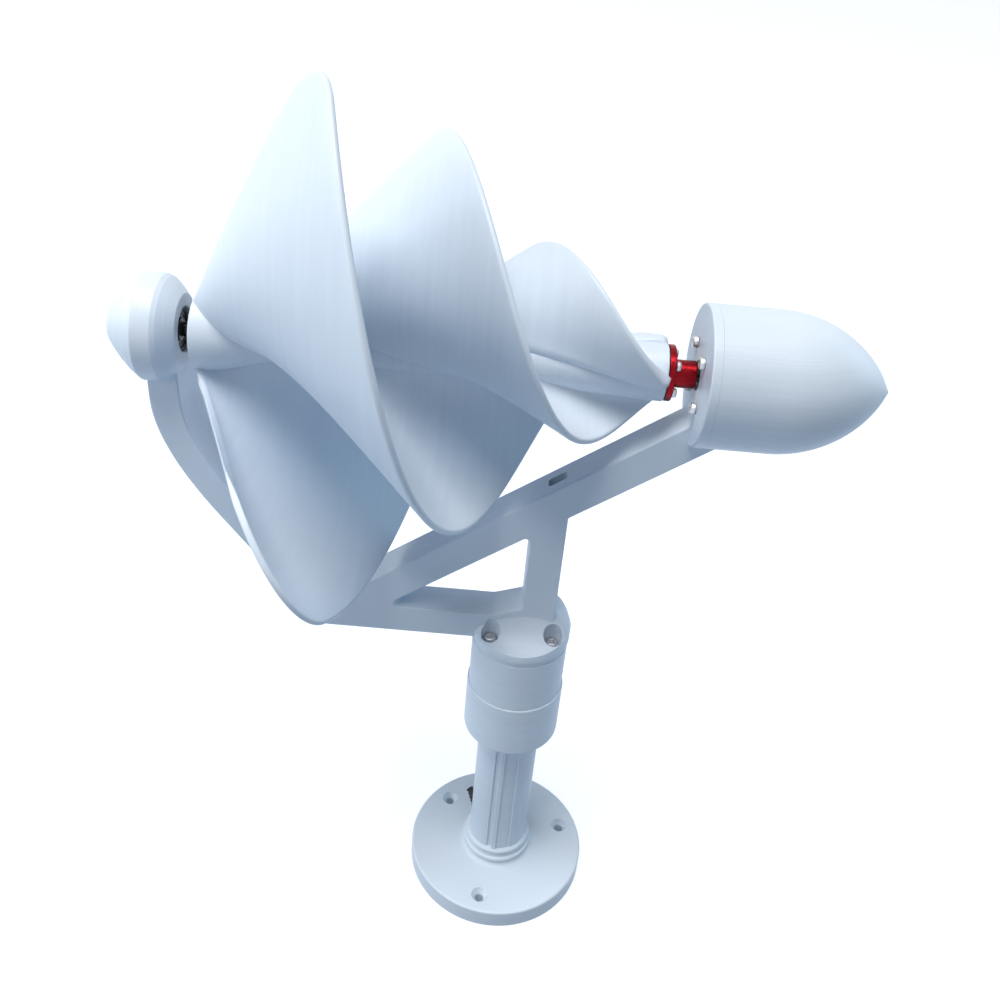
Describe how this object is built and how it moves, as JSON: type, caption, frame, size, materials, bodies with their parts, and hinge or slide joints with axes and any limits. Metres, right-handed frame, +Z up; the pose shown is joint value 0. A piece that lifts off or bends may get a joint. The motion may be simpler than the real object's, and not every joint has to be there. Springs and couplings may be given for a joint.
{
  "type": "desk wind turbine",
  "caption": "Spiral-rotor wind turbine that yaws on a round-footed post, with a bullet nacelle and a bent open frame.",
  "frame": {"origin": "centre of the flange's underside, on the yaw axis", "axes": "+Z up along the yaw axis, +X along the rotor axis towards the nacelle, +Y away from the front"},
  "size_m": [0.332, 0.2149, 0.4421],
  "materials": {
    "base_plastic": "white, layer-printed, satin",
    "head_plastic": "white, layer-printed, satin",
    "rotor_plastic": "white, layer-printed, satin",
    "red_aluminium": "red anodised",
    "screw_steel": "bright zinc",
    "bearing_steel": "ground",
    "generator_steel": "brushed",
    "bearing_shield": "dark, smooth",
    "generator_black": "black, satin",
    "black_rubber": "black, matt"
  },
  "bodies": {
    "base": {"base_flange": "base_plastic", "post": "base_plastic", "cable_outlet": "black_rubber", "yaw_spindle": "bearing_steel", "lower_bearing_inner_race": "bearing_steel", "upper_bearing_inner_race": "bearing_steel", "spindle_nut": "bearing_steel"},
    "yaw_head": {"housing_cup": "head_plastic", "housing_sleeve": "head_plastic", "bearing_retainer": "head_plastic", "frame_cap": "head_plastic", "frame_strut": "head_plastic", "frame_beam": "head_plastic", "frame_lower_arm": "head_plastic", "frame_tail_arm": "head_plastic", "nacelle_plate": "head_plastic", "nacelle_shell": "head_plastic", "tail_knob": "head_plastic", "cap_screw_1": "screw_steel", "cap_screw_2": "screw_steel", "cap_screw_3": "screw_steel", "cap_screw_4": "screw_steel", "generator_screw_1": "screw_steel", "generator_screw_2": "screw_steel", "generator_screw_3": "screw_steel", "generator_screw_4": "screw_steel", "lower_bearing_outer_race": "bearing_steel", "upper_bearing_outer_race": "bearing_steel", "tail_bearing_outer_race": "bearing_steel", "generator_case": "generator_steel", "generator_bell": "generator_black", "generator_terminal_1": "bearing_steel", "generator_terminal_2": "bearing_steel", "tail_bearing_shield": "bearing_shield"},
    "rotor": {"rotor_hub": "rotor_plastic", "blade_1": "rotor_plastic", "blade_2": "rotor_plastic", "blade_3": "rotor_plastic", "coupling": "red_aluminium", "coupling_screw_1": "screw_steel", "coupling_screw_2": "screw_steel", "coupling_screw_3": "screw_steel", "coupling_screw_4": "screw_steel", "set_screw_1": "screw_steel", "set_screw_2": "screw_steel", "generator_shaft": "bearing_steel", "tail_shaft": "bearing_steel", "tail_bearing_inner_race": "bearing_steel"}
  },
  "joints": [
    {"name": "yaw", "type": "hinge", "parent": "base", "child": "yaw_head", "pos_m": [0, 0, 0.16], "axis": [0, 0, 1], "continuous": true},
    {"name": "rotor_spin", "type": "hinge", "parent": "yaw_head", "child": "rotor", "pos_m": [-0.05, 0, 0.3275], "axis": [1, 0, 0], "continuous": true}
  ]
}
